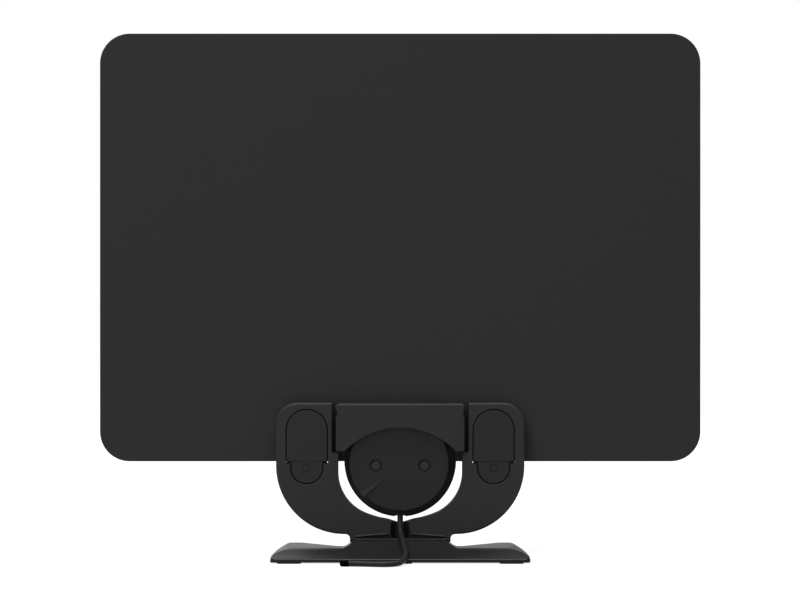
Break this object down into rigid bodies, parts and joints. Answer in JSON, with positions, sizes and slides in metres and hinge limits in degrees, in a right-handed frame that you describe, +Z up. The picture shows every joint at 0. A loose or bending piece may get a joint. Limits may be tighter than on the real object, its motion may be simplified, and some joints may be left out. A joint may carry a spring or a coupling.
{
  "type": "flat indoor tv antenna",
  "caption": "Flat plate antenna for television, held upright by sprung clip levers in a U bracket on a swept table base, with a rear module housing, a cable reel and a short coax lead.",
  "frame": {"origin": "on the table, in the middle of the stand's base under the panel", "axes": "+Z up, -Y towards the rear with the housing and the reel, +X to the right seen from the rear"},
  "size_m": [0.3, 0.0904, 0.2607],
  "materials": {
    "panel_plastic": "fine matt moulded sheet",
    "housing_plastic": "satin moulded",
    "reel_plastic": "satin moulded",
    "rivet_plastic": "satin moulded",
    "bracket_plastic": "satin moulded",
    "lever_plastic": "satin moulded",
    "base_plastic": "satin moulded",
    "foot_rubber": "matt",
    "foil_aluminium": "bright foil",
    "strip_brass": "tinned strip",
    "board_laminate": "resin laminate",
    "ferrite": "sintered, matt",
    "pin_steel": "drawn wire",
    "spring_steel": "rolled strip",
    "cable_jacket": "smooth jacket",
    "socket_metal": "blackened plating",
    "socket_insulator": "white polymer",
    "contact_metal": "gold plating"
  },
  "bodies": {
    "stand": {"rear_sheet": "panel_plastic", "front_sheet": "panel_plastic", "element_foil_left": "foil_aluminium", "element_foil_right": "foil_aluminium", "feed_strip_left": "strip_brass", "feed_strip_right": "strip_brass", "module_housing": "housing_plastic", "reel_core": "reel_plastic", "reel_disc": "reel_plastic", "push_rivet_left": "rivet_plastic", "push_rivet_right": "rivet_plastic", "circuit_board": "board_laminate", "balun_core": "ferrite", "strain_relief": "reel_plastic", "stand_bracket": "bracket_plastic", "hinge_pin_left": "pin_steel", "hinge_pin_right": "pin_steel", "lever_spring_left": "spring_steel", "lever_spring_right": "spring_steel", "base_shell": "base_plastic", "rubber_foot_rear_left": "foot_rubber", "rubber_foot_rear_middle": "foot_rubber", "rubber_foot_rear_right": "foot_rubber", "rubber_foot_front_left": "foot_rubber", "rubber_foot_front_right": "foot_rubber", "cable": "cable_jacket", "socket_shell": "socket_metal", "socket_insulator": "socket_insulator", "socket_contact": "contact_metal"},
    "lever_left": {"clip_lever_left": "lever_plastic"},
    "lever_right": {"clip_lever_right": "lever_plastic"}
  },
  "joints": [
    {"name": "clip_hinge_left", "type": "hinge", "parent": "stand", "child": "lever_left", "pos_m": [-0.0464, -0.0036, 0.0463], "axis": [1, 0, 0], "range_deg": [0, 12], "stiffness_Nm_per_rad": 0.15, "springref_deg": -11.46, "deforming": ["lever_spring_left"]},
    {"name": "clip_hinge_right", "type": "hinge", "parent": "stand", "child": "lever_right", "pos_m": [0.0464, -0.0036, 0.0463], "axis": [1, 0, 0], "range_deg": [0, 12], "stiffness_Nm_per_rad": 0.15, "springref_deg": -11.46, "deforming": ["lever_spring_right"]}
  ]
}
